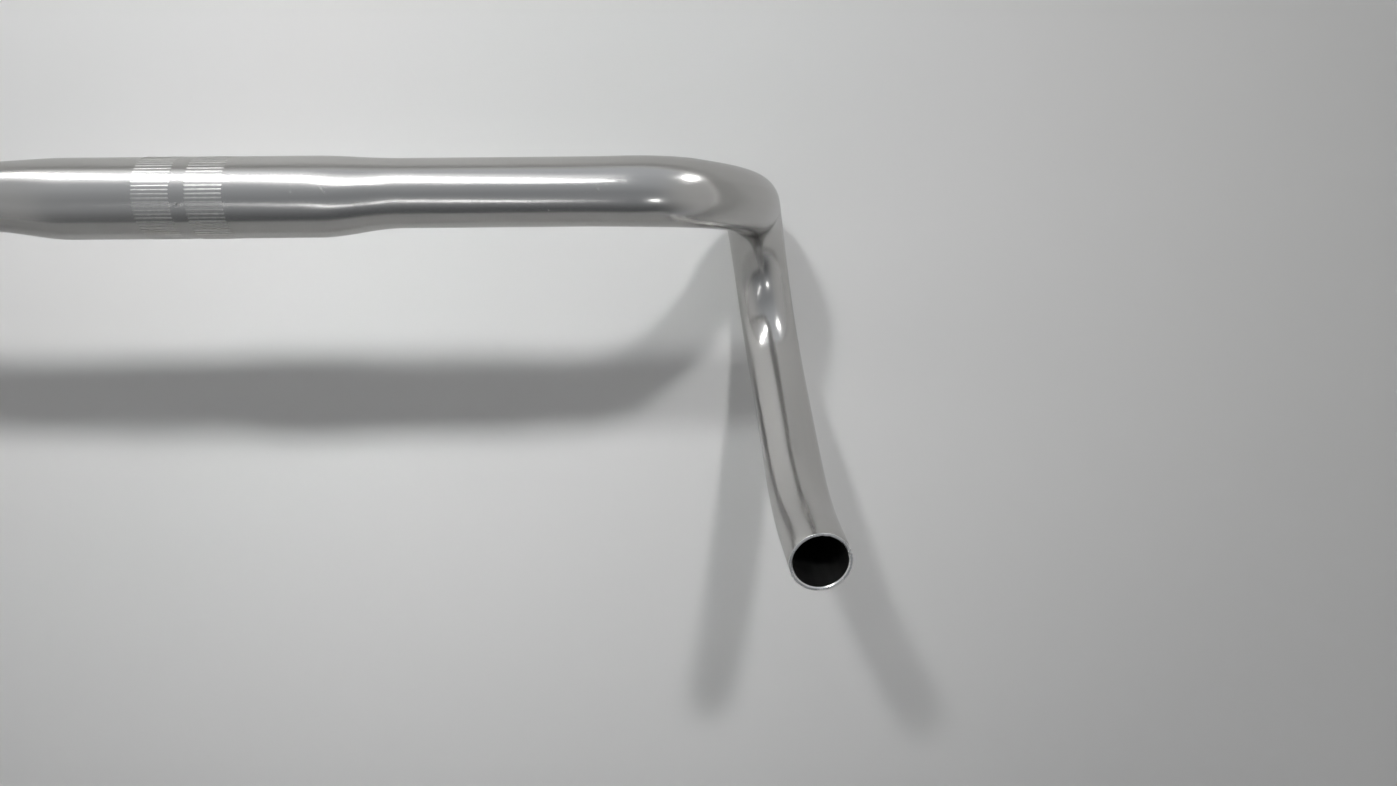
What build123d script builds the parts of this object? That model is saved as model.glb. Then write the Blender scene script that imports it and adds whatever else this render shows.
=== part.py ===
# Road bicycle drop handlebar: one aluminium tube, bulged to a round clamp section in the
# middle, swaged smoothly down to thinner tops, and bent into two flared drops.
#
# Frame: origin at the middle of the clamp section, on its axis.
# +X runs along the bar to the rider's right, +Y points forwards, +Z points up.
# All sizes are in millimetres and all angles in degrees.
from build123d import *
from math import cos, pi, radians, sin, tan
import os

# ---- clamp section, in the middle of the bar
clamp_diameter = 26.0
clamp_length = 79.0  # the stretch that keeps its full diameter
clamp_wall = 2.0
taper_length = 27.0  # each smooth shoulder from the clamp section to a top
taper_sections = 7

# ---- the bent tube on each side
tube_diameter = 22.2
tube_wall = 1.3
tops_rise = 0.9  # the tops sit this much higher than the clamp's axis
end_bevel = 0.4  # inside edge of each open end
end_break = 0.15  # outside edge of each open end

# ---- centreline of one side: straight legs that meet at rounded corners
corner_offset = 153.0  # from the middle of the bar to the corner of the tops
shoulder_turn = 53.5  # the first turn forwards, seen from above
shoulder_leg = 44.5
shoulder_radius = 28.0
ramp_slope = 14.5  # how far the ramp falls below level
ramp_turn = 85.5  # 90 would point the ramp straight forwards
ramp_leg = 65.0
ramp_radius = 96.0
drop_turn = 85.5  # 90 would make the grip and the tail run straight back
hook_turn = 82.0
hook_radius = 38.0
grip_slope = 29.0  # how far the grip falls towards the rear
grip_leg = 97.5
lower_radius = 75.0
tail_slope = 0.5
tail_leg = 41.0

# ---- gripping lines pressed into the clamp section
knurl_band = 12.0
knurl_gap = 4.5  # plain strip between the two bands
knurl_lines = 64
knurl_height = 0.09
knurl_line_width = 0.42

# ---- centre mark, a punched dimple on the side that faces the rider
dimple_diameter = 1.3
dimple_depth = 0.35

clamp_radius = clamp_diameter / 2
tube_radius = tube_diameter / 2
taper_end = clamp_length / 2 + taper_length


def heading(turn, fall):
    """Unit vector: turn is measured from +X towards the drop, fall below straight forwards."""
    turn, fall = radians(turn), radians(fall)
    return Vector(cos(turn), sin(turn) * cos(fall), -sin(turn) * sin(fall))


def half_turn_tangent(before, after):
    """Tangent of half the angle between two headings."""
    return tan(radians(before.get_angle(after)) / 2)


def side_path():
    """Centreline of one side, from the taper's thin end to the open end of the drop."""
    grip_fall = 180 - grip_slope
    shoulder = heading(shoulder_turn, ramp_slope)
    ramp = heading(ramp_turn, ramp_slope)
    hook = heading(hook_turn, (ramp_slope + grip_fall) / 2)
    grip = heading(drop_turn, grip_fall)
    tail = heading(drop_turn, 180 - tail_slope)
    # one radius serves both corners of the hook, and their arcs meet halfway down its leg
    hook_leg = hook_radius * (half_turn_tangent(ramp, hook) + half_turn_tangent(hook, grip))

    points = [Vector(taper_end, 0, tops_rise), Vector(corner_offset, 0, tops_rise)]
    legs = ((shoulder, shoulder_leg), (ramp, ramp_leg), (hook, hook_leg), (grip, grip_leg),
            (tail, tail_leg))
    for direction, length in legs:
        points.append(points[-1] + direction * length)
    return rounded_path(points, (shoulder_radius, ramp_radius, hook_radius, hook_radius,
                                 lower_radius))


def rounded_path(points, radii):
    """Straight runs through the points, with a tangent arc of the given radius at each corner."""
    edges = []
    start = points[0]
    for corner, after, radius in zip(points[1:-1], points[2:], radii):
        into = (corner - start).normalized()
        out = (after - corner).normalized()
        setback = radius * half_turn_tangent(into, out)
        arc_start = corner - into * setback
        arc_end = corner + out * setback
        if (arc_start - start).length > 0.01:
            edges.append(Edge.make_line(start, arc_start))
        edges.append(Edge.make_tangent_arc(arc_start, into, arc_end))
        start = arc_end
    edges.append(Edge.make_line(start, points[-1]))
    return edges


def swept_side(edges, radius):
    """Round bar of the given radius that follows the centreline."""
    section = Plane(origin=edges[0] @ 0, z_dir=edges[0] % 0) * Circle(radius)
    return sweep(section, path=Wire(edges))


def taper(thick_radius, thin_radius):
    """Smooth S-shaped step from the clamp section out to one top, which sits slightly higher."""
    sections = []
    for number in range(taper_sections):
        along = number / (taper_sections - 1)
        blend = (1 - cos(pi * along)) / 2
        centre = (clamp_length / 2 + taper_length * along, 0, tops_rise * blend)
        radius = thick_radius + (thin_radius - thick_radius) * blend
        sections.append(Plane(origin=centre, z_dir=(1, 0, 0)) * Circle(radius))
    return loft(sections)


def bar_envelope(middle_radius, side_radius):
    """The whole bar as a solid rod: used once for the outside and once for the bore."""
    one_side = taper(middle_radius, side_radius) + swept_side(side_path(), side_radius)
    middle = Rotation(0, 90, 0) * Cylinder(middle_radius, clamp_length)
    return middle + one_side + mirror(one_side, about=Plane.YZ)


def knurl():
    """Two bands of fine raised lines that run along the clamp section, one each side of centre."""
    half_width = knurl_line_width / 2
    foot = clamp_radius - knurl_height
    line = Polygon((foot, -half_width), (foot, half_width), (clamp_radius, half_width * 0.8),
                   (clamp_radius + knurl_height, 0), (clamp_radius, -half_width * 0.8),
                   align=None)
    ring = Sketch() + [Rot(Z=360 / knurl_lines * number) * line for number in range(knurl_lines)]
    band = extrude(Plane.YZ.offset(knurl_gap / 2) * ring, knurl_band)
    return band + mirror(band, about=Plane.YZ)


def centre_mark():
    """The cone that punches the dimple."""
    tip = clamp_radius - dimple_depth
    overshoot = 1.0
    spread = dimple_diameter / 2 / dimple_depth
    cone = Cone(0, spread * (dimple_depth + overshoot), dimple_depth + overshoot,
                align=(Align.CENTER, Align.CENTER, Align.MIN))
    return Plane(origin=(0, -tip, 0), z_dir=(0, -1, 0)) * cone


def end_edges(bar, radius):
    """The circular edges of the given radius that bound the open ends of the drops."""
    ends = [side_path()[-1] @ 1]
    ends.append(Vector(-ends[0].X, ends[0].Y, ends[0].Z))
    circles = bar.edges().filter_by(GeomType.CIRCLE)
    return [edge for edge in circles if abs(edge.radius - radius) < 0.01
            and min((edge.arc_center - end).length for end in ends) < 0.01]


def handlebar_tube():
    """The finished tube."""
    bar = bar_envelope(clamp_radius, tube_radius) + knurl()
    bar -= bar_envelope(clamp_radius - clamp_wall, tube_radius - tube_wall)
    bar -= centre_mark()
    bar = chamfer(end_edges(bar, tube_radius - tube_wall), end_bevel)
    return chamfer(end_edges(bar, tube_radius), end_break)


os.makedirs("parts", exist_ok=True)
tube = handlebar_tube()
export_step(tube, "parts/handlebar_tube.step")

path_edges = side_path()
reach = max((edge @ (step / 20)).Y for edge in path_edges for step in range(21))
end = path_edges[-1] @ 1
print("reach", round(reach, 1), "drop", round(tops_rise - end.Z, 1))
print("width at the ends, centre to centre", round(2 * end.X, 1))
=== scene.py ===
# %% [markdown]
# # A bare drop handlebar, polished and clear anodised
# The whole bar is one aluminium tube. Its middle is swollen to a thicker round clamp section with two bands
# of fine gripping lines, and each side tapers smoothly to a thinner top, turns forwards at a corner, and
# comes back under itself as a flared drop with an open end.
#
# The engineering model brings the exact tube. Here it is rebuilt as a fine, even skin, because a mirror
# finish shows every facet: a long reflection only runs clean along a tube whose rings are evenly laid.

from math import cos, pi, radians, sin, tan

import bpy
import numpy as np
from mathutils import Matrix, Vector


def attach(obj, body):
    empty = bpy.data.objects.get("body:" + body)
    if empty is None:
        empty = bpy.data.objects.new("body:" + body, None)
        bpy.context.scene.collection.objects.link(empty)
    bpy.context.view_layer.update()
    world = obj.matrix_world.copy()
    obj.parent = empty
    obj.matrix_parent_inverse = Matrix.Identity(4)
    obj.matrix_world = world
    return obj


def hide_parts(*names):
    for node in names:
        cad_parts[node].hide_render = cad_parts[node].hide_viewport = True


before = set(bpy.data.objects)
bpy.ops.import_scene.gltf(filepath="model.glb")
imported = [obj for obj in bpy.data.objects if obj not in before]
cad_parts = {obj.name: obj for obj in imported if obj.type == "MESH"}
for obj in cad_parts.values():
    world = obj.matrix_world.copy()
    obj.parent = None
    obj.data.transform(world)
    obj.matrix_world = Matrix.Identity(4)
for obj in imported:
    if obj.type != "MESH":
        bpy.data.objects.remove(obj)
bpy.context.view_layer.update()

# %% [markdown]
# ## The sizes that shape the bar
# These are the same sizes that the engineering model is driven by, in metres and degrees. The centreline
# of one side is a chain of straight legs that meet at rounded corners, so a frame builder could bend the
# tube from this list.

# %% Sizes of the tube
MM = 0.001
CLAMP_RADIUS = 13.0 * MM
CLAMP_HALF = 39.5 * MM
TAPER_LENGTH = 27.0 * MM
TUBE_RADIUS = 11.1 * MM
CLAMP_WALL = 2.0 * MM
TUBE_WALL = 1.3 * MM
TOPS_RISE = 0.9 * MM
END_BEVEL = 0.4 * MM
END_BREAK = 0.15 * MM

CORNER_OFFSET = 153.0 * MM
DROP_FLARE = 85.5
# each leg after the corner: turn towards the drop, fall below straight forwards, length, corner radius
SHOULDER = (53.5, 14.5, 44.5 * MM, 28.0 * MM)
RAMP = (DROP_FLARE, 14.5, 65.0 * MM, 96.0 * MM)
HOOK_TURN, HOOK_RADIUS = 82.0, 38.0 * MM
GRIP = (DROP_FLARE, 151.0, 97.5 * MM, HOOK_RADIUS)
TAIL = (DROP_FLARE, 179.5, 41.0 * MM, 75.0 * MM)
print("clamp section", round(2 * CLAMP_RADIUS, 4), "m across, tops", round(2 * TUBE_RADIUS, 4), "m across")

# %% [markdown]
# ## The centreline
# A bent tube is described by its centreline alone. Each leg has a direction, and a bend of a given radius
# rounds the corner between two legs. The bend starts a little before the corner, by the setback, which is
# the same sum that tells a bender where to put the tube in the former.

# %% Centreline of one side


def heading(turn, fall):
    """Unit vector: turn from +X towards the drop, fall below straight forwards, in degrees."""
    turn, fall = radians(turn), radians(fall)
    return Vector((cos(turn), sin(turn) * cos(fall), -sin(turn) * sin(fall)))


def setback(into, out, radius):
    """How far a rounded corner's arc starts before the corner."""
    return radius * tan(into.angle(out) / 2)


def side_corners():
    """Corners of one side's centreline, and the radius that rounds each of them."""
    ramp, grip = heading(*RAMP[:2]), heading(*GRIP[:2])
    hook = heading(HOOK_TURN, (RAMP[1] + GRIP[1]) / 2)
    hook_leg = setback(ramp, hook, HOOK_RADIUS) + setback(hook, grip, HOOK_RADIUS)
    start = Vector((CLAMP_HALF + TAPER_LENGTH, 0, TOPS_RISE))
    corners = [start, Vector((CORNER_OFFSET, 0, TOPS_RISE))]
    legs = [(heading(*SHOULDER[:2]), SHOULDER[2]), (ramp, RAMP[2]), (hook, hook_leg),
            (grip, GRIP[2]), (heading(*TAIL[:2]), TAIL[2])]
    for direction, length in legs:
        corners.append(corners[-1] + direction * length)
    return corners, [SHOULDER[3], RAMP[3], HOOK_RADIUS, HOOK_RADIUS, TAIL[3]]


print("the right side's centreline ends at", [round(part, 4) for part in side_corners()[0][-1]])


# %% [markdown]
# ## Laying rings along the tube
# A station is one ring's place: its centre, the way the tube runs there, how tightly it bends and towards
# where. Straight stretches need few rings. Bends get one about every two millimetres, so that the
# reflections sweep round them without a ripple.

# %% Stations along one side
RING_STEP_STRAIGHT = 5.0 * MM
RING_STEP_BEND = 2.1 * MM
RING_STEP_TAPER = 1.8 * MM
SHORTEST_STRAIGHT = 0.01 * MM


def straight_run(start, end, step):
    """Stations along a straight stretch, without its last point."""
    count = max(1, round((end - start).length / step))
    along = (end - start).normalized()
    return [(start.lerp(end, i / count), along, Vector()) for i in range(count)]


def bend_run(arc_start, into, out, radius):
    """Stations round an arc, without its last point. The last item is the curvature vector."""
    turn = into.angle(out)
    inward = (out - into * into.dot(out)).normalized()
    centre = arc_start + inward * radius
    count = max(4, round(turn * radius / RING_STEP_BEND))
    stations = []
    for i in range(count):
        angle = turn * i / count
        spoke = into * sin(angle) - inward * cos(angle)
        along = into * cos(angle) + inward * sin(angle)
        stations.append((centre + spoke * radius, along, -spoke / radius))
    return stations


def side_stations():
    """Stations from the thin end of the taper to the open end of the drop."""
    corners, radii = side_corners()
    stations, start = [], corners[0]
    for corner, after, radius in zip(corners[1:-1], corners[2:], radii):
        into, out = (corner - start).normalized(), (after - corner).normalized()
        back = setback(into, out, radius)
        arc_start, arc_end = corner - into * back, corner + out * back
        if (arc_start - start).length > SHORTEST_STRAIGHT:
            stations += straight_run(start, arc_start, RING_STEP_STRAIGHT)
        stations += bend_run(arc_start, into, out, radius)
        start = arc_end
    stations += straight_run(start, corners[-1], RING_STEP_STRAIGHT)
    stations.append((corners[-1], (corners[-1] - start).normalized(), Vector()))
    return stations


print(len(side_stations()), "rings from the end of the taper to the open end")


# %% [markdown]
# ## The clamp section
# A stem grips the thick middle. Two bands of raised lines, pressed along the tube, stop it from turning in
# the stem, and a punched dot in the plain strip between them marks the centre. The lines are real
# geometry: four points make each line, two at its feet, one on its crest and one in the valley beside it.

# %% Sizes of the gripping lines and the centre mark
KNURL_BAND = 12.0 * MM
KNURL_GAP = 4.5 * MM
KNURL_LINES = 64
KNURL_HEIGHT = 0.07 * MM
KNURL_LINE_WIDTH = 0.42 * MM
KNURL_FADE = 0.5 * MM
FOOT_WEAR = 0.35  # of the wear on a line's crest
KNURL_STEP = 1.0 * MM
MARK_RADIUS = 0.65 * MM
MARK_DEPTH = 0.35 * MM
MARK_STEP = 0.2 * MM
RING_POINTS = 4 * KNURL_LINES
print(KNURL_LINES, "lines in each band, so", RING_POINTS, "points in each ring")

# %% Rings of the clamp section and the taper
BAND_EDGE = 0.1 * MM


def clamp_places():
    """Distances of the rings from the middle of the bar to the end of one taper, closer at detail."""
    gap, band_end = KNURL_GAP / 2, KNURL_GAP / 2 + KNURL_BAND
    places = list(np.arange(0, MARK_RADIUS * 1.6, MARK_STEP))
    places += list(np.linspace(places[-1] + MARK_STEP, gap, 4))
    places += [gap + BAND_EDGE]
    places += list(np.arange(gap + KNURL_FADE, band_end - KNURL_FADE, KNURL_STEP))
    places += [band_end - KNURL_FADE, band_end - BAND_EDGE, band_end]
    places += list(np.linspace(band_end, CLAMP_HALF, 8))[1:]
    count = round(TAPER_LENGTH / RING_STEP_TAPER)
    places += [CLAMP_HALF + TAPER_LENGTH * i / count for i in range(1, count)]
    return places


def taper_blend(distance):
    """0 on the clamp section, 1 on the tops, and an S-curve between."""
    share = min(1.0, max(0.0, (distance - CLAMP_HALF) / TAPER_LENGTH))
    return (1 - cos(pi * share)) / 2


print(len(clamp_places()), "rings from the middle to the end of the taper")


# %% [markdown]
# ## Both sides
# The bar is the same on both sides, so the left side is the right side mirrored. Only the list is turned
# round, so that the rings run from one open end to the other.

# %% All stations, from the left open end to the right one
right = [(Vector((x, 0, TOPS_RISE * taper_blend(x))), Vector((1, 0, 0)), Vector())
         for x in clamp_places()] + side_stations()
left = [(Vector((-p.x, p.y, p.z)), Vector((t.x, -t.y, -t.z)), Vector((-k.x, k.y, k.z)))
        for p, t, k in right[1:]]
stations = left[::-1] + right
centres = np.array([station[0] for station in stations])
tangents = np.array([station[1] for station in stations])
bends = np.array([station[2] for station in stations])
middle_ring = len(left)
steps = np.linalg.norm(np.diff(centres, axis=0), axis=1)
along_tube = np.concatenate([[0], np.cumsum(steps)])
along_tube -= along_tube[middle_ring]
print(len(stations), "rings; the tube is", round(along_tube[-1] * 2, 4), "m long")

# %% [markdown]
# ## Turning rings without twisting them
# Each ring needs an up direction. Carrying it from ring to ring with the smallest possible turn keeps the
# lines of the mesh running straight along the tube, even where it bends out of one plane into another.

# %% Directions of every ring
ups = np.zeros_like(centres)
ups[middle_ring] = (0, 0, 1)
for direction in (1, -1):
    ring = middle_ring
    while 0 <= ring + direction < len(centres):
        turn = Vector(tangents[ring]).rotation_difference(Vector(tangents[ring + direction]))
        ups[ring + direction] = turn @ Vector(ups[ring])
        ring += direction
sides = np.cross(tangents, ups)
print("up at the right open end:", ups[-1].round(3).tolist())

# %% [markdown]
# ## What bending does to a tube
# A bent tube doesn't stay perfectly round. It flattens a little in the plane of the bend and grows across
# it. The flattening is worked out at each bend and then blurred along the tube, because it starts a little
# before the bend and fades out after it.

# %% Flattening in the bends
FLATTENING = 0.00062  # share of the radius, for a bend of one metre radius
FLATTENING_REACH = 7.0 * MM


def blurred_along(values):
    """Gaussian blur along the tube of one value, or row of values, per ring."""
    flat = values.reshape(len(values), -1)
    weight = np.gradient(along_tube)
    distance = (along_tube[:, None] - along_tube[None, :]) / FLATTENING_REACH
    kernel = np.exp(-0.5 * distance**2) * weight[None, :]
    kernel /= kernel.sum(axis=1, keepdims=True)
    return (kernel @ flat).reshape(values.shape)


curvature = np.linalg.norm(bends, axis=1)
toward = bends / np.maximum(curvature, 1e-9)[:, None]
squeeze = np.einsum("i,ij,ik->ijk", curvature * FLATTENING, toward, toward)
squeeze = blurred_along(squeeze)
bend_amount = blurred_along(curvature / curvature.max())
print("most flattening:", round(float(np.trace(squeeze, axis1=1, axis2=2).max()), 4))

# %% [markdown]
# ## The gripping lines
# Every ring has the same number of points, so the skin is one clean grid, and the points of the bands are
# pulled in beside each crest to draw the lines sharply. No two lines are pressed equally deep, so each one
# gets its own strength and a slight waver along its length.

# %% Heights of the gripping lines
LEAST_STRENGTH, STRENGTH_RANGE = 0.72, 0.28
WAVER, WAVER_PER_METRE, WAVER_SHIFT = 0.12, 2100, 1.9
LOWEST_LINE = 0.35
even_angles = np.arange(RING_POINTS) * 2 * pi / RING_POINTS
line_role = np.arange(RING_POINTS) % 4  # 0 foot, 1 crest, 2 foot, 3 valley
rng = np.random.default_rng(7)
line_strength = {side: LEAST_STRENGTH + STRENGTH_RANGE * rng.random(KNURL_LINES)
                 for side in (-1, 1)}


def knurl_share(distance):
    """How fully the gripping lines stand at this distance from the middle: 0 or 1, fading at the ends."""
    into_band = abs(distance) - KNURL_GAP / 2
    edge = min(into_band, KNURL_BAND - into_band)
    return min(1.0, max(0.0, edge / KNURL_FADE))


def ring_angles(distance):
    """Angles round a ring. Inside the bands the feet of each line move in beside its crest."""
    share = min(1.0, knurl_share(distance) * 4)
    even_step = 2 * pi / RING_POINTS
    pull = even_step - KNURL_LINE_WIDTH / 2 / CLAMP_RADIUS
    shift = np.where(line_role == 0, pull, np.where(line_role == 2, -pull, 0.0))
    return even_angles + shift * share


def line_heights(distance):
    """Height of every point of a ring above the plain clamp section."""
    share = knurl_share(distance)
    heights = np.zeros(RING_POINTS)
    if share > 0:
        strength = line_strength[1 if distance > 0 else -1]
        waver = WAVER * np.sin(distance * WAVER_PER_METRE + np.arange(KNURL_LINES) * WAVER_SHIFT)
        heights[1::4] = KNURL_HEIGHT * share * np.clip(strength + waver, LOWEST_LINE, 1.0)
    return heights


print("tallest line, in metres:", float(line_heights(KNURL_GAP / 2 + KNURL_BAND / 2).max().round(6)))

# %% [markdown]
# ## The centre mark
# One blow of a pointed punch makes the mark: a cone going in, and a faint lip where the metal was pushed
# aside. It sits on the side that faces the rider, where it can be lined up with the slot of the stem.

# %% Depth of the centre mark
LIP_PLACE, LIP_WIDTH = 1.25, 0.22  # of the mark's radius
LIP_HEIGHT = 0.02 * MM


def mark_depths(distance, angles):
    """Depth of the punched centre mark, on the side that faces the rider."""
    facing_rider = 1.5 * pi if sides[middle_ring][1] > 0 else 0.5 * pi
    away = np.hypot(distance, (angles - facing_rider) * CLAMP_RADIUS)
    cone = np.clip(1 - away / MARK_RADIUS, 0, 1)
    lip = np.exp(-((away - MARK_RADIUS * LIP_PLACE) / (MARK_RADIUS * LIP_WIDTH)) ** 2)
    return MARK_DEPTH * cone - LIP_HEIGHT * lip


print("deepest point of the mark, in metres:", float(mark_depths(0.0, even_angles).max().round(6)))

# %% [markdown]
# ## The outer skin
# A ring's radius depends on where it is: thick at the clamp, thin on the tops, raised at each gripping line
# and dented at the centre mark. With each point go the things its finish needs to know: its place on the
# tube before bending, how worn it is, and how much the tube bends there.

# %% Placing one ring


def skin_radius(ring, angles, thick, thin):
    """Radius of a ring before flattening, for the given radii at the clamp section and the tops."""
    blend = taper_blend(abs(along_tube[ring]))
    return np.full(len(angles), thick + (thin - thick) * blend)


def ring_points(ring, angles, radii, flatten=True):
    """Points of one ring in space."""
    spokes = np.outer(np.cos(angles), ups[ring]) + np.outer(np.sin(angles), sides[ring])
    if flatten:
        in_plane = np.einsum("ij,jk,ik->i", spokes, squeeze[ring], spokes)
        radii = radii * (1 - 2 * in_plane + np.trace(squeeze[ring]))
    return centres[ring] + spokes * radii[:, None]


points, straight_place, wear, bent = [], [], [], []


def keep_ring(ring, angles, radii, offset=0.0, worn=0.0, flatten=True):
    """Adds one ring of the skin, with what its material needs to know about each point."""
    if np.isscalar(worn):
        worn = np.full(len(angles), worn)
    points.append(ring_points(ring, angles, radii, flatten) + tangents[ring] * offset)
    unbent = np.column_stack([np.full(len(angles), along_tube[ring] + offset),
                              radii * np.cos(angles), radii * np.sin(angles)])
    straight_place.append(unbent)
    wear.append(worn)
    bent.append(np.full(len(angles), bend_amount[ring]))


# %% Laying the outer skin
last = len(stations) - 1
for ring in range(len(stations)):
    distance = along_tube[ring]
    angles = ring_angles(distance)
    heights = line_heights(distance)
    radii = skin_radius(ring, angles, CLAMP_RADIUS, TUBE_RADIUS)
    radii = radii + heights - mark_depths(distance, angles)
    inset = END_BREAK if ring == last else -END_BREAK if ring == 0 else 0.0
    worn = heights / KNURL_HEIGHT
    worn[0::4] = worn[2::4] = FOOT_WEAR * worn[1::4]
    keep_ring(ring, angles, radii, offset=-inset, worn=worn)
outer_rings = len(points)
print(outer_rings, "rings laid for the outer skin")

# %% [markdown]
# ## The open ends and the bore
# The tube is cut square, its outside edge is just broken and its inside edge has a small bevel. The bore
# runs all the way through. Nobody polishes it, so it needs fewer points round, and the cut face steps down
# from the fine ring outside to the coarse ring inside.

# %% Rings of the cut ends and of the bore
BORE_STRIDE = 3  # the bore has a ring at every third station
BREAK_SHARE = 0.3  # how much of the broken edge is rounded over before the face
BEVEL_WEAR = 0.6
bore_angles = even_angles[::4]
inner_radius = TUBE_RADIUS - TUBE_WALL


def end_rings(ring, outward):
    """Broken outside edge, flat face and inside bevel of one open end."""
    keep_ring(ring, even_angles, np.full(RING_POINTS, TUBE_RADIUS - END_BREAK * BREAK_SHARE),
              offset=-outward * END_BREAK * BREAK_SHARE, worn=1.0)
    keep_ring(ring, even_angles, np.full(RING_POINTS, TUBE_RADIUS - END_BREAK), worn=1.0)
    keep_ring(ring, even_angles, np.full(RING_POINTS, inner_radius + END_BEVEL), worn=1.0)


def bore_ring(ring, offset=0.0, worn=0.0):
    """One ring of the bore."""
    radii = skin_radius(ring, bore_angles, CLAMP_RADIUS - CLAMP_WALL, inner_radius)
    keep_ring(ring, bore_angles, radii, offset=offset, worn=worn)


end_rings(last, 1)
bore_stations = [last] + list(range(last - BORE_STRIDE, BORE_STRIDE, -BORE_STRIDE)) + [0]
for ring in bore_stations:
    inset = -END_BEVEL if ring == last else END_BEVEL if ring == 0 else 0.0
    bore_ring(ring, offset=inset, worn=BEVEL_WEAR if inset else 0.0)
end_rings(0, -1)
# the left end's three rings come out from the bore, so they run from the face to the edge
for store in (points, straight_place, wear, bent):
    store[-3:] = store[-3:][::-1]
print(len(bore_stations), "rings laid for the bore")

# %% [markdown]
# ## One closed skin
# The rings are joined in one round trip: along the outside from left to right, over the right end, back
# through the bore, and over the left end to the start. The skin then has no open edge and no loose face, so
# it can be printed or weighed as it is.

# %% Helpers that join two rings
ring_starts = np.concatenate([[0], np.cumsum([len(ring) for ring in points])])
faces, face_finish = [], []
POLISHED, CUT_FACE, BORE = 0, 1, 2


def join_rings(a, b, finish):
    """Quads between two rings with equally many points."""
    count = len(points[a])
    for i in range(count):
        j = (i + 1) % count
        faces.append((ring_starts[a] + i, ring_starts[a] + j, ring_starts[b] + j,
                      ring_starts[b] + i))
        face_finish.append(finish)


def join_fine_to_coarse(fine, coarse, finish, inward):
    """Faces between a fine ring and a coarse ring, four fine edges to each coarse edge."""
    count = len(points[coarse])
    for i in range(count):
        j = (i + 1) % count
        row = [ring_starts[fine] + (4 * i + n) % RING_POINTS for n in range(5)]
        face = row[::-1] + [ring_starts[coarse] + i, ring_starts[coarse] + j]
        faces.append(tuple(face[::-1] if inward else face))
        face_finish.append(finish)


print(len(points), "rings to join")

# %% Joining the rings
for ring in range(outer_rings - 1):
    join_rings(ring, ring + 1, POLISHED)
right_edge = outer_rings
for ring in range(outer_rings - 1, right_edge + 2):
    join_rings(ring, ring + 1, CUT_FACE)
first_bore = right_edge + 3
last_bore = first_bore + len(bore_stations) - 1
join_fine_to_coarse(right_edge + 2, first_bore, CUT_FACE, inward=True)
for ring in range(first_bore, last_bore):
    join_rings(ring, ring + 1, BORE)
join_fine_to_coarse(last_bore + 1, last_bore, CUT_FACE, inward=False)
join_rings(last_bore + 1, last_bore + 2, CUT_FACE)
join_rings(last_bore + 2, last_bore + 3, CUT_FACE)
join_rings(last_bore + 3, 0, CUT_FACE)
print(len(faces), "faces joined")

# %% The mesh, with what its finishes read
mesh = bpy.data.meshes.new("handlebar")
mesh.from_pydata(np.vstack(points).tolist(), [], [tuple(map(int, face)) for face in faces])
mesh.polygons.foreach_set("material_index", face_finish)
mesh.polygons.foreach_set("use_smooth", [True] * len(faces))
to_store = (("straight_tube", "FLOAT_VECTOR", np.vstack(straight_place)),
            ("wear", "FLOAT", np.concatenate(wear)),
            ("bent", "FLOAT", np.concatenate(bent)))
for name, kind, data in to_store:
    attribute = mesh.attributes.new(name, kind, "POINT")
    field = "vector" if kind == "FLOAT_VECTOR" else "value"
    attribute.data.foreach_set(field, data.astype(np.float32).ravel())
mesh.update()
print("stored on the skin:", [name for name, kind, data in to_store])

# %% [markdown]
# ## Edges that stay crisp
# Smooth shading would smear the gripping lines and the rims into their neighbours. Marking the feet of the
# lines and the edges of the cut faces as sharp keeps the light on each side of them apart.

# %% Sharp edges
edge_ends = np.empty(len(mesh.edges) * 2, dtype=np.int32)
mesh.edges.foreach_get("vertices", edge_ends)
edge_ends = edge_ends.reshape(-1, 2)
ring_of = np.searchsorted(ring_starts, edge_ends, side="right") - 1
column_of = edge_ends - ring_starts[ring_of]
ring_stands = np.array([knurl_share(along_tube[ring]) > 0 for ring in range(outer_rings)]
                       + [False] * (len(points) - outer_rings))
foot_line = (ring_stands[ring_of].all(axis=1) & (column_of[:, 0] == column_of[:, 1])
             & (column_of[:, 0] % 2 == 0))
crisp_rings = [right_edge + 1, right_edge + 2, first_bore, last_bore, last_bore + 1, last_bore + 2]
rim_line = (ring_of[:, 0] == ring_of[:, 1]) & np.isin(ring_of[:, 0], crisp_rings)
sharp = mesh.attributes.new("sharp_edge", "BOOLEAN", "EDGE")
sharp.data.foreach_set("value", foot_line | rim_line)
mesh.validate()
print(int(foot_line.sum()), "edges at the feet of lines and", int(rim_line.sum()), "on the rims")

# %% The finished tube takes the place of the engineering model's tube
tube = bpy.data.objects.new("handlebar", mesh)
bpy.context.scene.collection.objects.link(tube)
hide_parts("handlebar_tube")
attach(tube, "root")
print(len(mesh.vertices), "points,", len(mesh.polygons), "faces")

# %% [markdown]
# ## Marks that the making leaves on the metal
# Drawing the tube leaves hair-fine lines along it, buffing crosses them with even finer ones around it,
# and handling dulls the shine in soft patches. The drawn, the cut and the bored surfaces all have such
# lines, so each kind of mark is a node group that is built once and placed with its own values. The marks
# follow the tube as if it were still straight, through a place stored at every point of the skin.

# %% Helpers for building node groups


def mark_group(name, inputs, outputs):
    """An empty node group with named number or vector inputs and number outputs."""
    group = bpy.data.node_groups.new(name, "ShaderNodeTree")
    for socket_name, kind, value in inputs:
        socket = group.interface.new_socket(socket_name, in_out="INPUT",
                                            socket_type=f"NodeSocket{kind}")
        if kind == "Float":
            socket.default_value = value
    for socket_name in outputs:
        group.interface.new_socket(socket_name, in_out="OUTPUT", socket_type="NodeSocketFloat")
    return group, group.nodes.new("NodeGroupInput"), group.nodes.new("NodeGroupOutput")


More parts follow.
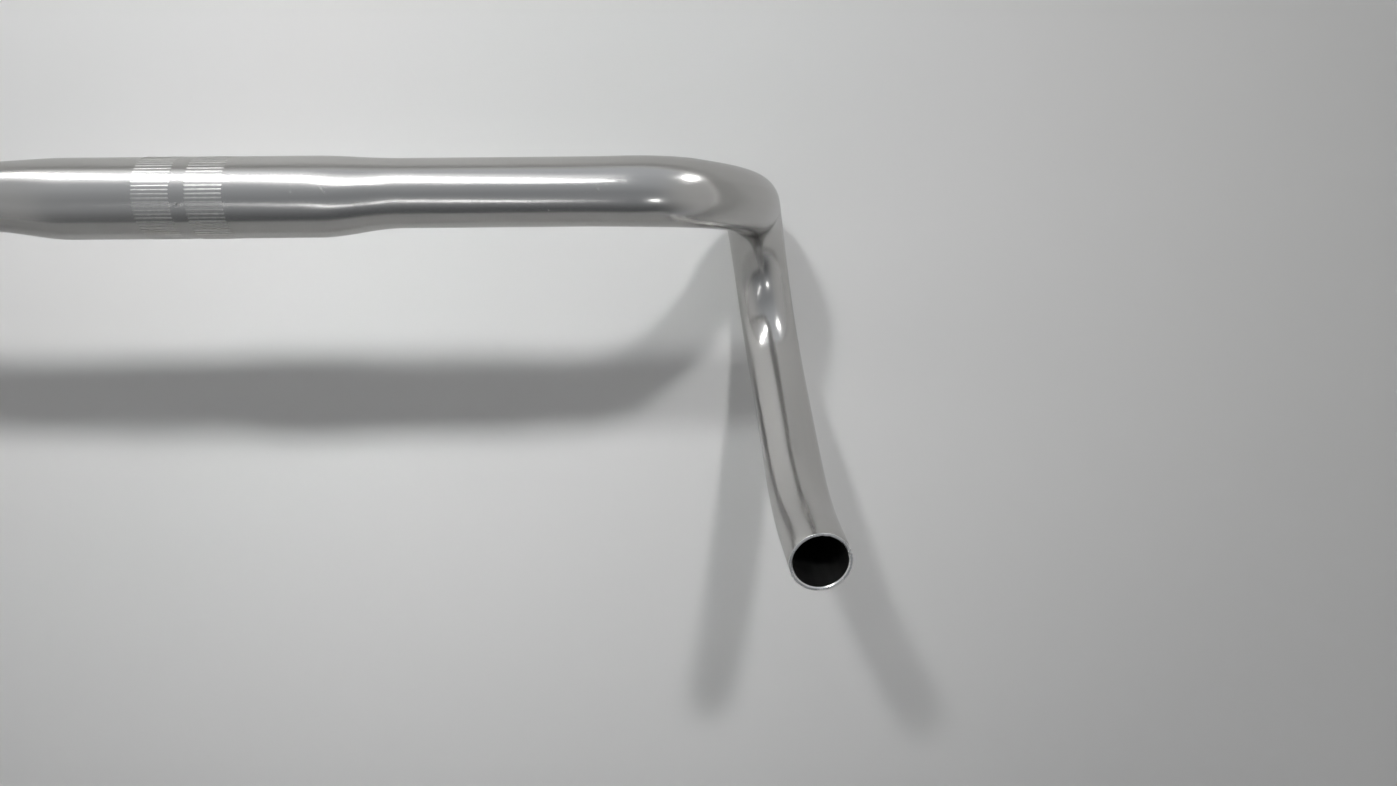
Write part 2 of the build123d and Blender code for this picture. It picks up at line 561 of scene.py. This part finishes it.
def add_node(tree, kind, settings=None, **inputs):
    """A shader node with its settings, and its inputs given as values or as sockets to link from."""
    made = tree.nodes.new("ShaderNode" + kind)
    for setting, value in (settings or {}).items():
        setattr(made, setting, value)
    for key, value in inputs.items():
        numbered = key[0] == "i" and key[1:].isdigit()
        socket = made.inputs[int(key[1:]) if numbered else key.replace("_", " ")]
        if isinstance(value, bpy.types.NodeSocket):
            tree.links.new(value, socket)
        else:
            socket.default_value = value
    return made


def sum_of(tree, first, second, operation="ADD"):
    """Result socket of a two-number sum."""
    return add_node(tree, "Math", {"operation": operation}, i0=first, i1=second).outputs[0]


def spread(tree, value, low, high, to_low=0.0, to_high=1.0):
    """Result socket of a value stretched from one range to another, and held inside it."""
    made = add_node(tree, "MapRange", None, Value=value, From_Min=low, From_Max=high,
                    To_Min=to_low, To_Max=to_high)
    return made.outputs["Result"]


# %% [markdown]
# ## Fine lines
# Noise that is stretched a hundredfold along one direction turns into lines. The same group makes the lines
# of drawing and of buffing, because only the two counts of lines per metre differ. With both counts high
# it makes the fine grain of a turned face.

# %% Fine lines


fine_lines, given, result = mark_group(
    "fine_lines",
    [("Place", "Vector", None), ("Lines per metre along", "Float", 20.0),
     ("Lines per metre around", "Float", 2500.0)],
    ["Height", "Streak"])
stretch = add_node(fine_lines, "CombineXYZ", None, X=given.outputs[1], Y=given.outputs[2],
                   Z=given.outputs[2])
drawn = add_node(fine_lines, "VectorMath", {"operation": "MULTIPLY"}, i0=given.outputs[0],
                 i1=stretch.outputs[0])
grain = add_node(fine_lines, "TexNoise", None, Vector=drawn.outputs[0], Scale=1.0, Detail=2.0)
broad = add_node(fine_lines, "VectorMath", {"operation": "MULTIPLY"}, i0=drawn.outputs[0],
                 i1=(0.3, 0.12, 0.12))
streak = add_node(fine_lines, "TexNoise", None, Vector=broad.outputs[0], Scale=1.0, Detail=3.0)
fine_lines.links.new(grain.outputs["Fac"], result.inputs["Height"])
fine_lines.links.new(spread(fine_lines, streak.outputs["Fac"], 0.35, 0.65), result.inputs["Streak"])
print(fine_lines.name, "has", len(fine_lines.nodes), "nodes")

# %% [markdown]
# ## Dulled patches and scratches
# Hands and cloths dull a polish in clouds a few centimetres wide. Scratches are rare and come in groups, so
# a second, broader noise decides where any are let through.

# %% Soft patches of dulled shine
haze, given, result = mark_group(
    "handling_haze", [("Place", "Vector", None), ("Patches per metre", "Float", 28.0)], ["Dullness"])
clouds = add_node(haze, "TexNoise", None, Vector=given.outputs[0], Scale=given.outputs[1], Detail=4.0,
                  Roughness=0.6)
haze.links.new(spread(haze, clouds.outputs["Fac"], 0.42, 0.68), result.inputs["Dullness"])
print(haze.name, "has", len(haze.nodes), "nodes")

# %% Sparse hairline scratches
scratches, given, result = mark_group(
    "hairline_scratches",
    [("Place", "Vector", None), ("Scratches per metre", "Float", 900.0), ("Slant", "Float", 0.5)],
    ["Scratch"])
slanted = add_node(scratches, "VectorRotate", {"rotation_type": "Z_AXIS"}, Vector=given.outputs[0],
                   Angle=given.outputs["Slant"])
lengthened = add_node(scratches, "VectorMath", {"operation": "MULTIPLY"}, i0=slanted.outputs[0],
                      i1=(0.06, 1.0, 1.0))
hairs = add_node(scratches, "TexNoise", None, Vector=lengthened.outputs[0], Scale=given.outputs[1],
                 Detail=0.0)
where = add_node(scratches, "TexNoise", None, Vector=given.outputs[0], Scale=70.0, Detail=1.0)
thin = spread(scratches, hairs.outputs["Fac"], 0.72, 0.80)
some = spread(scratches, where.outputs["Fac"], 0.52, 0.62)
scratches.links.new(sum_of(scratches, thin, some, "MULTIPLY"), result.inputs["Scratch"])
print("mark groups:", [group.name for group in bpy.data.node_groups])

# %% [markdown]
# ## Three finishes on one tube
# Outside, the bar is polished and clear anodised. The clear layer makes it greyer and softer than bare
# polished aluminium, so a lamp is mirrored with a clean bright core and a wide soft skirt. The crests of
# the gripping lines are rubbed by handling and stay rough, so they catch light from everywhere. The cut
# ends are turned bright. The bore keeps the dull lines of the drawing bench, and its colour is painted
# near black as painted shade for the dark inside of the tube.


# %% Helpers for the finishes
def new_finish(name):
    """A material, its node tree and its main shader."""
    material = bpy.data.materials.new(name)
    material.use_nodes = True
    return material, material.node_tree, material.node_tree.nodes["Principled BSDF"]


def stored(tree, name, output="Fac"):
    """Socket that reads a value stored on the skin."""
    return add_node(tree, "Attribute", {"attribute_name": name}).outputs[output]


def marks(tree, group, **inputs):
    """A mark group placed in a material, with its own values."""
    placed = tree.nodes.new("ShaderNodeGroup")
    placed.node_tree = group
    for key, value in inputs.items():
        socket = placed.inputs[key.replace("_", " ")]
        if isinstance(value, bpy.types.NodeSocket):
            tree.links.new(value, socket)
        else:
            socket.default_value = value
    return placed.outputs


def tint(tree, share, plain, changed):
    """Colour socket between two colours, each given as three numbers or as a socket."""
    mixed = add_node(tree, "Mix", {"data_type": "RGBA"}, Factor=share)
    for side, colour in (("A", plain), ("B", changed)):
        if isinstance(colour, bpy.types.NodeSocket):
            tree.links.new(colour, mixed.inputs[side])
        else:
            mixed.inputs[side].default_value = (*colour, 1)
    return mixed.outputs["Result"]


def scaled(tree, value, size):
    """Result socket of a value made larger or smaller."""
    return sum_of(tree, value, size, "MULTIPLY")


def raise_marks(tree, shader, heights):
    """Chains bumps, each a height socket and the real height of its marks in metres."""
    below = None
    for height, tallness in heights:
        bump = add_node(tree, "Bump", None, Height=height, Strength=1.0, Distance=tallness)
        if below is not None:
            tree.links.new(below, bump.inputs["Normal"])
        below = bump.outputs["Normal"]
    tree.links.new(below, shader.inputs["Normal"])


# %% Marks on the polished outside
MICRON = 0.000001
polished, tree, shader = new_finish("clear_anodised_polish")
place = stored(tree, "straight_tube", "Vector")
crest = stored(tree, "wear")
bent_share = stored(tree, "bent")
drawn_lines = marks(tree, fine_lines, Place=place, Lines_per_metre_along=18.0,
                    Lines_per_metre_around=2600.0)
buff_lines = marks(tree, fine_lines, Place=place, Lines_per_metre_along=5200.0,
                   Lines_per_metre_around=40.0)
dull = marks(tree, haze, Place=place, Patches_per_metre=26.0)["Dullness"]
hair = marks(tree, scratches, Place=place, Scratches_per_metre=1800.0, Slant=0.9)["Scratch"]
peel = add_node(tree, "TexNoise", None, Vector=place, Scale=420.0, Detail=2.0).outputs["Fac"]
print("marks placed in", polished.name + ":", len(tree.nodes), "nodes so far")

# %% Colour and shine of the polished outside
BETWEEN_LINES, ON_LINES = (0.530, 0.524, 0.510), (0.552, 0.546, 0.532)
DULLED, RUBBED = (0.508, 0.500, 0.484), (0.68, 0.675, 0.66)
SHINE_BEST, SHINE_WORST = 0.185, 0.225  # roughness
clean = tint(tree, drawn_lines["Streak"], BETWEEN_LINES, ON_LINES)
dulled = tint(tree, scaled(tree, dull, 0.35), clean, DULLED)
tree.links.new(tint(tree, crest, dulled, RUBBED), shader.inputs["Base Color"])

rough = sum_of(tree, spread(tree, dull, 0.0, 1.0, SHINE_BEST, SHINE_WORST),
               spread(tree, buff_lines["Streak"], 0.0, 1.0, -0.012, 0.012))
for cause, roughening in ((hair, 0.06), (bent_share, 0.02), (crest, 0.30)):
    rough = sum_of(tree, rough, scaled(tree, cause, roughening))
tree.links.new(rough, shader.inputs["Roughness"])
shader.inputs["Metallic"].default_value = 1.0
shader.inputs["Specular Tint"].default_value = (0.82, 0.82, 0.82, 1)
print(polished.name, "roughness", SHINE_BEST, "to", SHINE_WORST)

# %% Height of the marks on the polished outside
peel_in_bends = sum_of(tree, peel, spread(tree, bent_share, 0.0, 1.0, 0.25, 1.0), "MULTIPLY")
raise_marks(tree, shader, [(drawn_lines["Height"], 0.9 * MICRON), (buff_lines["Height"], 0.35 * MICRON),
                           (hair, -0.7 * MICRON), (peel_in_bends, 4.0 * MICRON)])
print(polished.name, "has", len(tree.nodes), "nodes")

# %% [markdown]
# ## Turned cut ends
# The ends are cut square and faced with a turning tool, which leaves bare metal with a fine bright grain.
# So this surface is lighter in colour and rougher than the anodised outside, and it draws a thin bright
# ring round the dark bore.

# %% Turned cut ends
cut, tree, shader = new_finish("turned_cut_end")
place = stored(tree, "straight_tube", "Vector")
turned = marks(tree, fine_lines, Place=place, Lines_per_metre_along=9000.0,
               Lines_per_metre_around=1800.0)
dull = marks(tree, haze, Place=place, Patches_per_metre=120.0)["Dullness"]
tree.links.new(tint(tree, turned["Streak"], (0.70, 0.70, 0.69), (0.84, 0.84, 0.83)),
               shader.inputs["Base Color"])
rough = sum_of(tree, spread(tree, dull, 0.0, 1.0, 0.20, 0.32), scaled(tree, turned["Streak"], 0.06))
tree.links.new(rough, shader.inputs["Roughness"])
raise_marks(tree, shader, [(turned["Height"], 2.5 * MICRON)])
shader.inputs["Metallic"].default_value = 1.0
print(cut.name, "has", len(tree.nodes), "nodes")

# %% [markdown]
# ## The bore
# The tool that holds the tube open while it is drawn leaves deeper lines inside than outside, and nobody
# polishes them away. Hardly any light gets in, so the bore's colour is painted near black as painted shade
# for the deep, dark inside, with a dull roughness of its own.

# %% Unpolished bore, coloured near black as painted shade
bore, tree, shader = new_finish("bore_in_painted_shade")
place = stored(tree, "straight_tube", "Vector")
die_lines = marks(tree, fine_lines, Place=place, Lines_per_metre_along=12.0,
                  Lines_per_metre_around=1400.0)
dull = marks(tree, haze, Place=place, Patches_per_metre=60.0)["Dullness"]
# the near-black colour is painted shade for the dark, unlit inside of the tube
tree.links.new(tint(tree, die_lines["Streak"], (0.030, 0.030, 0.030), (0.065, 0.064, 0.062)),
               shader.inputs["Base Color"])
rough = sum_of(tree, spread(tree, dull, 0.0, 1.0, 0.34, 0.52), scaled(tree, die_lines["Streak"], -0.06))
tree.links.new(rough, shader.inputs["Roughness"])
raise_marks(tree, shader, [(die_lines["Height"], 8.0 * MICRON), (dull, 10.0 * MICRON)])
shader.inputs["Metallic"].default_value = 0.6
for finish in (polished, cut, bore):
    mesh.materials.append(finish)
print("finishes:", [finish.name for finish in mesh.materials])

# %% [markdown]
# ## Wall and floor
# The bar hangs just clear of a pale wall, which sweeps out into the floor with no corner, so that nothing
# behind the polish draws a line. Both are far wider than they look. Far from the bar they fade into one
# even pale light, and that hides where they end.

# %% Sizes of the wall and floor
scene = bpy.context.scene
scene.view_settings.view_transform = "Standard"
HOOK_REACH = max(v.co.y for v in mesh.vertices)
WALL_PLACE = HOOK_REACH + 1.0 * MM
FLOOR_HEIGHT = -0.45
LOWER_FLOOR_HEIGHT = FLOOR_HEIGHT - 1.0 * MM
SWEEP_RADIUS = 0.10
SWEEP_START = WALL_PLACE - SWEEP_RADIUS
SWEEP_STEPS = 16
STAGE_REACH = 12.0
SHEET_FRONT, SHEET_RIGHT = -0.26, 0.35
print("the wall stands", round(WALL_PLACE, 4), "m in front of the clamp section's axis")


# %% Wall, sheet and floor
def sweep_mesh(name, profile, right_end=STAGE_REACH):
    """A surface that carries a profile of (y, z) places from side to side."""
    made = bpy.data.meshes.new(name)
    corners = [(x, y, z) for y, z in profile for x in (-STAGE_REACH, right_end)]
    quads = [(2 * i, 2 * i + 1, 2 * i + 3, 2 * i + 2) for i in range(len(profile) - 1)]
    made.from_pydata(corners, [], quads)
    made.polygons.foreach_set("use_smooth", [True] * len(quads))
    placed = bpy.data.objects.new(name, made)
    scene.collection.objects.link(placed)
    return placed


profile = []
for i in range(SWEEP_STEPS + 1):
    turn = pi / 2 * i / SWEEP_STEPS
    profile.append((SWEEP_START + SWEEP_RADIUS * sin(turn), FLOOR_HEIGHT + SWEEP_RADIUS * (1 - cos(turn))))
profile.append((WALL_PLACE, STAGE_REACH))
sheet = sweep_mesh("sheet", profile)
floor_sheet = sweep_mesh("floor_sheet", [(SHEET_FRONT, FLOOR_HEIGHT), (SWEEP_START, FLOOR_HEIGHT)],
                         SHEET_RIGHT)
floor = sweep_mesh("floor", [(-STAGE_REACH, LOWER_FLOOR_HEIGHT), (STAGE_REACH, LOWER_FLOOR_HEIGHT)])
floor.visible_glossy = False  # the polish mirrors a dark room past the sheet's front edge
print("stage:", [surface.name for surface in (sheet, floor_sheet, floor)])

# %% [markdown]
# ## Pale cloth
# Matt cloth scatters light evenly, so it shows the shadows softly and mirrors nothing. Seen from behind it
# is clear, so that the bar can be looked at from every side.

# %% Cloth of the wall and floor
PALE = (0.66, 0.66, 0.655)
FADE_START, FADE_END = 0.45, 1.5
cloth, tree, shader = new_finish("pale_cloth")
shader.inputs["Base Color"].default_value = (0.82, 0.82, 0.815, 1)
shader.inputs["Roughness"].default_value = 0.95
shader.inputs["Specular IOR Level"].default_value = 0.2
surface_place = tree.nodes.new("ShaderNodeNewGeometry")
away = add_node(tree, "VectorMath", {"operation": "LENGTH"}, i0=surface_place.outputs["Position"])
far = add_node(tree, "MapRange", {"interpolation_type": "SMOOTHSTEP"}, Value=away.outputs["Value"],
               From_Min=FADE_START, From_Max=FADE_END)
glow = add_node(tree, "Emission", None, Color=(*PALE, 1))
fade = add_node(tree, "MixShader", None, i0=far.outputs["Result"], i1=shader.outputs[0],
                i2=glow.outputs[0])
clear = add_node(tree, "BsdfTransparent")
seen_side = add_node(tree, "MixShader", None, i0=surface_place.outputs["Backfacing"],
                     i1=fade.outputs[0], i2=clear.outputs[0])
tree.links.new(seen_side.outputs[0], tree.nodes["Material Output"].inputs["Surface"])
for surface in (sheet, floor_sheet, floor):
    surface.data.materials.append(cloth)
print(cloth.name, "fades between", FADE_START, "and", FADE_END, "m from the bar")

# %% [markdown]
# ## The room in the polish
# Polished metal has hardly any colour of its own: what it shows is the room. A tube that lies level mirrors
# the room as a list of heights, so the room is painted as light by height, from the floor behind the rider
# up over the ceiling. The room is bright in the polish, dim on matt cloth, and even where it is seen
# directly.

# %% Light of the room by height
ROOM_LIGHT, ROOM_FILL = 1.01, 0.12
# degrees up from straight towards the rider, and the light there
ROOM = [(-180, 0.36), (-80, 0.36), (-66, 0.20), (-58, 0.118), (-44, 0.136), (-30, 0.235), (-20, 0.305),
        (-8, 0.33), (8, 0.315), (20, 0.385), (32, 0.47), (45, 0.53), (60, 0.575), (75, 0.60), (90, 0.65),
        (105, 0.66), (180, 0.66)]
ROOM_TINT = (0.965, 1.0, 1.05)
SIDE_LIGHT = (0.50, 0.50, 0.50)
room = bpy.data.worlds.new("studio")
scene.world = room
room.use_nodes = True
tree = room.node_tree
background = tree.nodes["Background"]
looking = add_node(tree, "TexCoord").outputs["Generated"]
parts = add_node(tree, "SeparateXYZ", None, Vector=looking)
to_rider = scaled(tree, parts.outputs["Y"], -1.0)
up = sum_of(tree, parts.outputs["Z"], to_rider, "ARCTAN2")
by_height = add_node(tree, "ValToRGB", None, i0=spread(tree, up, -pi, pi))
elements = by_height.color_ramp.elements
elements.remove(elements[-1])
for number, (degrees_up, light) in enumerate(ROOM):
    share = (degrees_up + 180) / 360
    element = elements[0] if number == 0 else elements.new(share)
    element.position = share
    element.color = (*(light * part for part in ROOM_TINT), 1)
print("the room has", len(elements), "heights of light")

# %% Light of the room to the sides, and who sees it
aside = sum_of(tree, parts.outputs["X"], 0.0, "ABSOLUTE")
to_side = add_node(tree, "MapRange", {"interpolation_type": "SMOOTHSTEP"}, Value=aside,
                   From_Min=0.35, From_Max=0.95)
mirrored = tint(tree, to_side.outputs["Result"], by_height.outputs["Color"], SIDE_LIGHT)
ray = add_node(tree, "LightPath")
tree.links.new(tint(tree, ray.outputs["Is Camera Ray"], mirrored, PALE), background.inputs["Color"])
strength = spread(tree, ray.outputs["Is Diffuse Ray"], 0.0, 1.0, ROOM_LIGHT, ROOM_FILL)
tree.links.new(strength, background.inputs["Strength"])
print("the room's strength is", ROOM_LIGHT, "in the polish and", ROOM_FILL, "on cloth")

# %% [markdown]
# ## Lamps
# Two jobs need two kinds of lamp. Long ceiling tubes, seen only in the polish, draw the highlights along
# the bar. Two small keys, seen only by the cloth, throw the bar's shadows. Kept apart, the width of a
# highlight and the softness of a shadow can each be set alone.

# %% Helpers for the lamps
KEY_SPREAD, ALL_ROUND = 50, 180  # degrees
RIGHT_TOP = (0.1, 0, 0)


def lamp(name, middle, along, length, width, light, facing, seen_in_polish=True):
    """A rectangle of light with its length along a direction. light is its brightness."""
    data = bpy.data.lights.new(name, "AREA")
    data.shape = "RECTANGLE"
    data.size, data.size_y = length, width
    data.energy = light * pi * length * width
    data.spread = radians(ALL_ROUND if seen_in_polish else KEY_SPREAD)
    made = bpy.data.objects.new(name, data)
    back = (Vector(middle) - Vector(facing)).normalized()
    along = (along - back * along.dot(back)).normalized()
    turned_to = Matrix((along, back.cross(along), back)).transposed().to_4x4()
    made.matrix_world = Matrix.Translation(middle) @ turned_to
    made.visible_camera = False
    made.visible_glossy = seen_in_polish
    made.visible_diffuse = not seen_in_polish
    scene.collection.objects.link(made)
    return made


def strip_lamp(name, start, end, width, light):
    """A long lamp from one place to another, facing the middle of the right top."""
    start, end = Vector(start), Vector(end)
    return lamp(name, (start + end) / 2, end - start, (end - start).length, width, light, RIGHT_TOP)


def from_rider(side, up):
    """Direction: side degrees towards the rider's right, up degrees above the rider's horizon."""
    side, up = radians(side), radians(up)
    return Vector((sin(side), -cos(side) * cos(up), cos(side) * sin(up)))


# %% Ceiling tubes, seen in the polish
CEILING = 1.4
tube_places = [(-1.30, 0.08, CEILING), (-0.52, -0.71, CEILING), (-0.14, -1.47, CEILING),
               (-0.03, -1.57, CEILING)]
strip_lamp("ceiling_tube_far", tube_places[0], tube_places[1], 0.075, 22)
strip_lamp("ceiling_tube_near", tube_places[1], tube_places[2], 0.10, 20)
strip_lamp("ceiling_tube_end", tube_places[2], tube_places[3], 0.09, 3)
strip_lamp("ceiling_glow", (-1.20, 0.05, CEILING + 0.05), (-0.10, -1.20, CEILING + 0.05), 0.75, 0.5)
print("ceiling tubes hang", CEILING, "m above the bar")

# %% Small cards and low lights, seen in the polish
CORNER_FACED = (0.16, 0, 0)
forwards, sideways = Vector((0, 1, 0)), Vector((1, 0, 0))
lamp("corner_card", (0.336, -0.027, 0.144), forwards, 0.05, 0.035, 14, CORNER_FACED)
lamp("corner_glow", (0.336, -0.027, 0.150), forwards, 0.15, 0.10, 0.35, CORNER_FACED)
LOW_MIDDLE, LOW_DISTANCE = Vector((0.04, -0.012, 0)), 1.2
low_places = [LOW_MIDDLE + from_rider(side, up) * LOW_DISTANCE
              for side, up in ((-27, -6), (-19, -11.5), (-3, -22))]
strip_lamp("low_line_left", low_places[0], low_places[1], 0.03, 2)
strip_lamp("low_line", low_places[1], low_places[2], 0.03, 8)
HOOK_SIDE = Vector((0.19, 0.09, -0.053))
lamp("low_card", HOOK_SIDE + from_rider(19.9, -15.2), sideways, 0.10, 0.06, 12, RIGHT_TOP)
print("lamps seen in the polish:", len(bpy.data.lights))

# %% Keys, seen by the cloth
KEY_AIM = (0.0, 0.10, -0.08)
KEY_RIGHT_FROM = Vector((0.12, 0, -0.05))
KEY_RIGHT_WAY, KEY_RIGHT_DISTANCE = Vector((0.33, -1.0, 1.03)).normalized(), 1.8
key_right_place = KEY_RIGHT_FROM + KEY_RIGHT_WAY * KEY_RIGHT_DISTANCE
lamp("key_left", Vector((-0.12, -0.65, 0.625)), sideways, 0.07, 0.07, 22, KEY_AIM, False)
lamp("key_right", key_right_place, sideways, 0.12, 0.12, 18.5, KEY_AIM, False)
print("lamps in all:", len(bpy.data.lights))

# %% [markdown]
# ## Camera
# The camera looks from where the rider sits, a little to the right of the middle and above the bar, and
# tilts down to it. The lens is a short wide one held close, which is why the right drop points at the
# viewer and the tops seem to run out to the left.

# %% Camera
CAMERA_PLACE = (0.1613, -0.3513, 0.0596)
CAMERA_TILT, CAMERA_ROLL = 20.0, 0.52  # degrees
LENS, SENSOR = 28.1, 36.0  # millimetres
NEAREST_SEEN = 0.01
camera_data = bpy.data.cameras.new("camera")
camera_data.lens = LENS
camera_data.sensor_width = SENSOR
camera_data.clip_start = NEAREST_SEEN
camera = bpy.data.objects.new("camera", camera_data)
tilted = Matrix.Rotation(radians(90 - CAMERA_TILT), 4, "X")
rolled = Matrix.Rotation(radians(-CAMERA_ROLL), 4, "Z")
camera.matrix_world = Matrix.Translation(CAMERA_PLACE) @ tilted @ rolled
scene.collection.objects.link(camera)
scene.camera = camera
print("camera", CAMERA_PLACE, "m from the clamp section, with a lens of", LENS, "mm")
